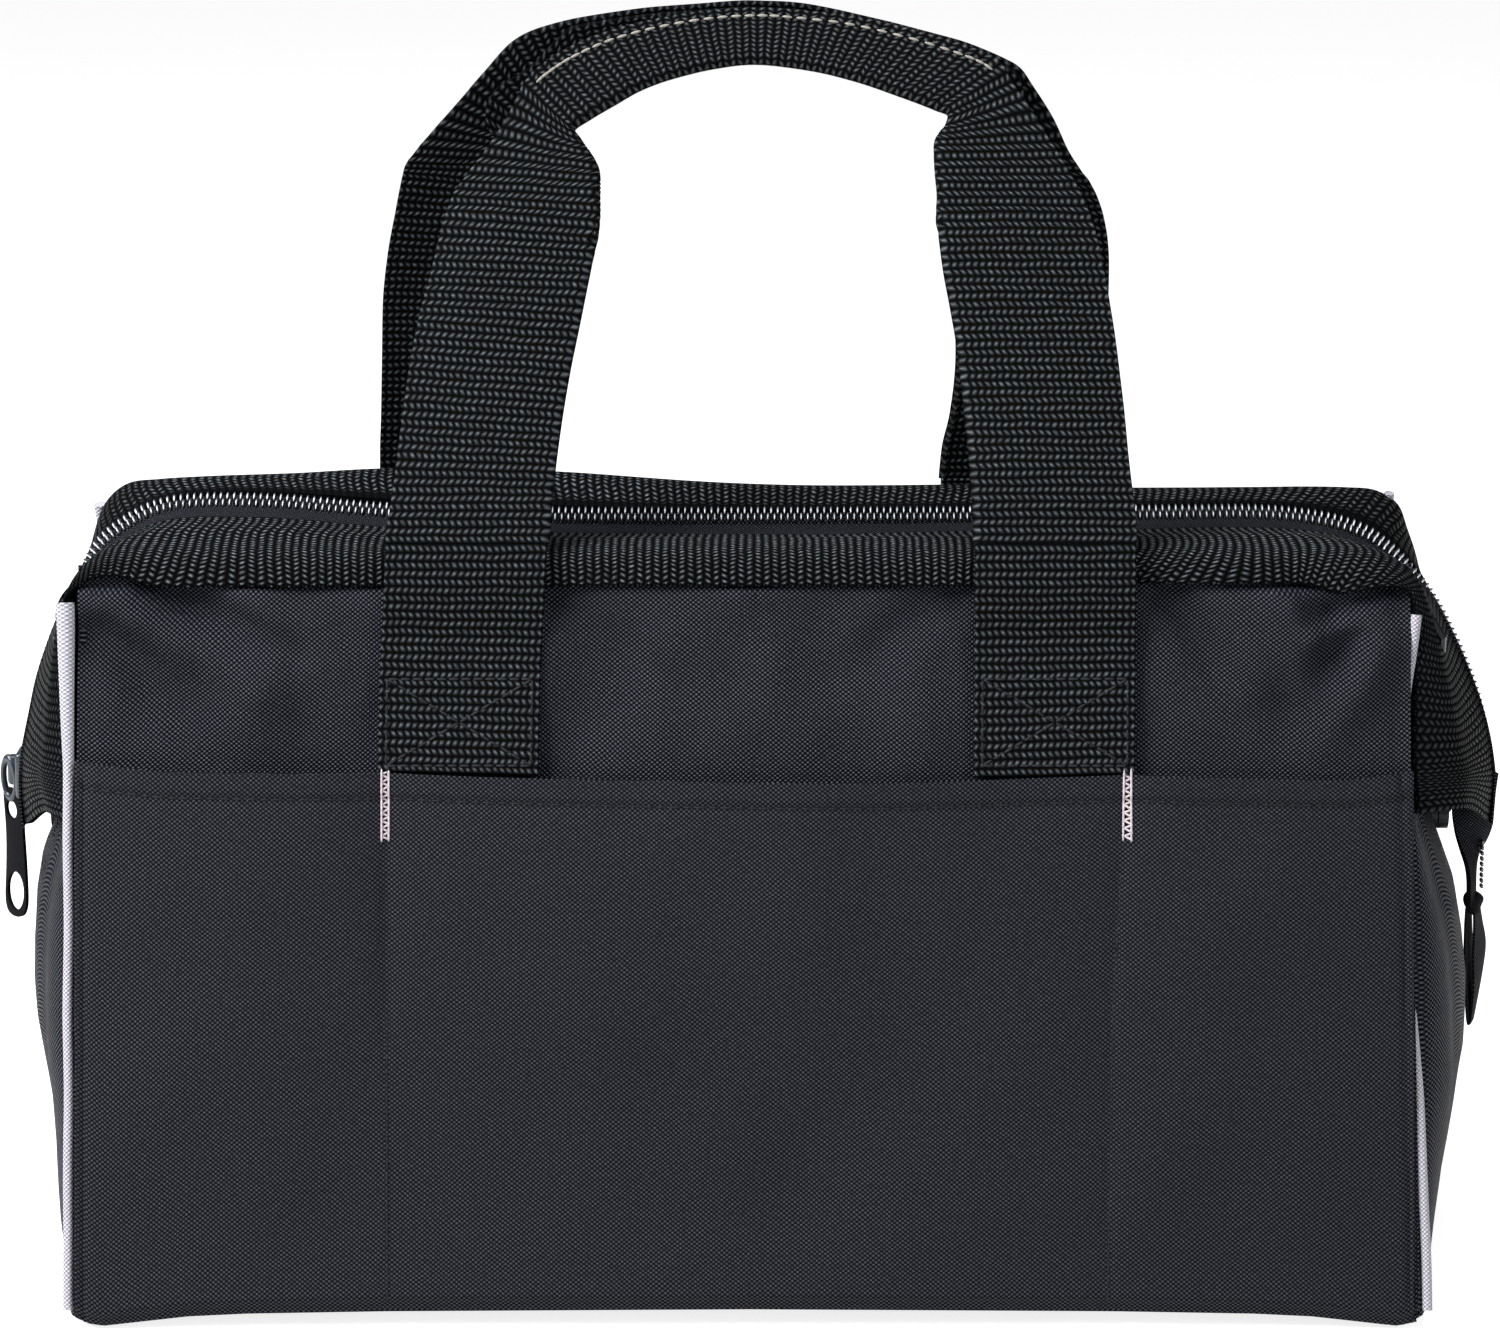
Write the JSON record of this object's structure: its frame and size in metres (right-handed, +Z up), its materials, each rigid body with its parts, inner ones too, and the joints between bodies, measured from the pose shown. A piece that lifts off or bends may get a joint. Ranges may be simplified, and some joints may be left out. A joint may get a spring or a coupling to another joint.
{
  "type": "wide-mouth tool bag",
  "caption": "Soft wide-mouth tool bag with a zipped mouth on hinged wire frames, an outer pocket along the front, piped corner seams and webbing carry handles.",
  "frame": {"origin": "on the floor, under the middle of the bag's base", "axes": "+X along the zip to the right as seen from the front, +Y from the pocket side to the rear, +Z up"},
  "size_m": [0.3719, 0.1595, 0.3082],
  "materials": {
    "base_panel": "coarse black plain-weave polyester",
    "front_pocket": "coarse black plain-weave polyester",
    "front_panel": "coarse black plain-weave polyester",
    "rear_panel": "coarse black plain-weave polyester",
    "left_end_panel": "coarse black plain-weave polyester",
    "right_end_panel": "coarse black plain-weave polyester",
    "front_zip_tape": "coarse black plain-weave polyester",
    "rear_zip_tape": "coarse black plain-weave polyester",
    "front_band": "black woven webbing",
    "rear_band": "black woven webbing",
    "front_left_strap_end": "black woven webbing",
    "front_right_strap_end": "black woven webbing",
    "rear_left_strap_end": "black woven webbing",
    "rear_right_strap_end": "black woven webbing",
    "front_left_strap_wrap": "black woven webbing",
    "front_right_strap_wrap": "black woven webbing",
    "rear_left_strap_wrap": "black woven webbing",
    "rear_right_strap_wrap": "black woven webbing",
    "front_handle": "black woven webbing",
    "rear_handle": "black woven webbing",
    "front_left_piping": "light grey woven piping",
    "front_right_piping": "light grey woven piping",
    "rear_left_piping": "light grey woven piping",
    "rear_right_piping": "light grey woven piping",
    "left_bartack": "pale zigzag thread",
    "right_bartack": "pale zigzag thread",
    "front_zip_coil": "black nylon zip coil on woven tape",
    "rear_zip_coil": "black nylon zip coil on woven tape",
    "left_zip_end": "black nylon zip coil on woven tape",
    "right_zip_tail": "black nylon zip coil on woven tape",
    "base_board": "grey fibreboard stiffener",
    "left_hinge_rivet": "plain steel",
    "right_hinge_rivet": "plain steel",
    "front_frame_wire": "plain steel",
    "rear_frame_wire": "plain steel",
    "slider_crown": "dark blue-grey painted die-casting",
    "slider_base": "dark blue-grey painted die-casting",
    "pull_link": "dark blue-grey painted die-casting",
    "pull_tab": "dark blue-grey painted die-casting"
  },
  "bodies": {
    "bag_body": {"base_panel": "base_panel", "base_board": "base_board", "front_pocket": "front_pocket", "front_panel": "front_panel", "rear_panel": "rear_panel", "left_end_panel": "left_end_panel", "right_end_panel": "right_end_panel", "left_bartack": "left_bartack", "right_bartack": "right_bartack", "left_hinge_rivet": "left_hinge_rivet", "right_hinge_rivet": "right_hinge_rivet", "front_left_piping": "front_left_piping", "front_right_piping": "front_right_piping", "rear_left_piping": "rear_left_piping", "rear_right_piping": "rear_right_piping", "front_left_strap_end": "front_left_strap_end", "front_right_strap_end": "front_right_strap_end", "rear_left_strap_end": "rear_left_strap_end", "rear_right_strap_end": "rear_right_strap_end", "left_zip_end": "left_zip_end", "right_zip_tail": "right_zip_tail"},
    "front_gate": {"front_band": "front_band", "front_frame_wire": "front_frame_wire", "front_zip_tape": "front_zip_tape", "front_zip_coil": "front_zip_coil", "front_left_strap_wrap": "front_left_strap_wrap", "front_right_strap_wrap": "front_right_strap_wrap"},
    "rear_gate": {"rear_band": "rear_band", "rear_frame_wire": "rear_frame_wire", "rear_zip_tape": "rear_zip_tape", "rear_zip_coil": "rear_zip_coil", "rear_left_strap_wrap": "rear_left_strap_wrap", "rear_right_strap_wrap": "rear_right_strap_wrap"},
    "front_handle": {"front_handle": "front_handle"},
    "rear_handle": {"rear_handle": "rear_handle"},
    "zip_slider": {"slider_crown": "slider_crown", "slider_base": "slider_base"},
    "zip_pull": {"pull_link": "pull_link", "pull_tab": "pull_tab"}
  },
  "joints": [
    {"name": "front_gate_hinge", "type": "hinge", "parent": "bag_body", "child": "front_gate", "pos_m": [0, 0, 0.104], "axis": [1, 0, 0], "range_deg": [0, 45]},
    {"name": "rear_gate_hinge", "type": "hinge", "parent": "bag_body", "child": "rear_gate", "pos_m": [0, 0, 0.104], "axis": [-1, 0, 0], "range_deg": [0, 45]},
    {"name": "front_handle_swing", "type": "hinge", "parent": "front_gate", "child": "front_handle", "pos_m": [0, -0.0403, 0.1809], "axis": [1, 0, 0], "range_deg": [0, 140]},
    {"name": "rear_handle_swing", "type": "hinge", "parent": "rear_gate", "child": "rear_handle", "pos_m": [0, 0.0403, 0.1809], "axis": [-1, 0, 0], "range_deg": [0, 140]},
    {"name": "zip_slide", "type": "slide", "parent": "bag_body", "child": "zip_slider", "axis": [0.0787, 0, 0.9969], "range_m": [0, 0.02]},
    {"name": "pull_swing", "type": "hinge", "parent": "zip_slider", "child": "zip_pull", "pos_m": [-0.18144, 0, 0.11686], "axis": [0, 1, 0], "range_deg": [0, 150]}
  ]
}
